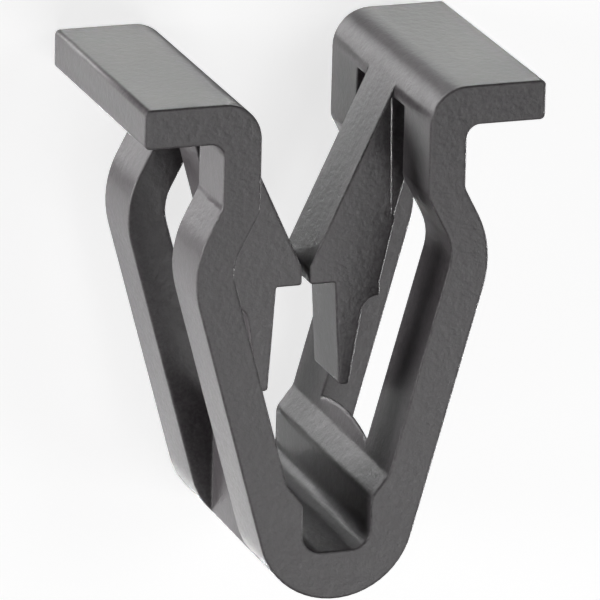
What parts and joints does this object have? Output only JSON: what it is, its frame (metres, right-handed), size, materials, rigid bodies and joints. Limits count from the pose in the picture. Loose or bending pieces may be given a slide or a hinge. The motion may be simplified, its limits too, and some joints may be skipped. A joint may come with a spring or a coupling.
{
  "type": "push-in trim clip",
  "caption": "One-piece moulded push-in trim clip: two bowed arms with flanges, a keyhole pocket and a barbed tongue in a window of each arm.",
  "frame": {"origin": "middle of the bounding box's lower face: the clip lies on its back profile face, centred across the flanges and between the base and the flange tops", "axes": "+X across the two flanges, +Y from the round base up to the flange tops, +Z from the back profile face to the front one"},
  "size_m": [0.015, 0.0188, 0.0106],
  "materials": {
    "trim_clip": "fine satin grain as moulded"
  },
  "bodies": {
    "root": {"trim_clip": "trim_clip"}
  },
  "joints": []
}
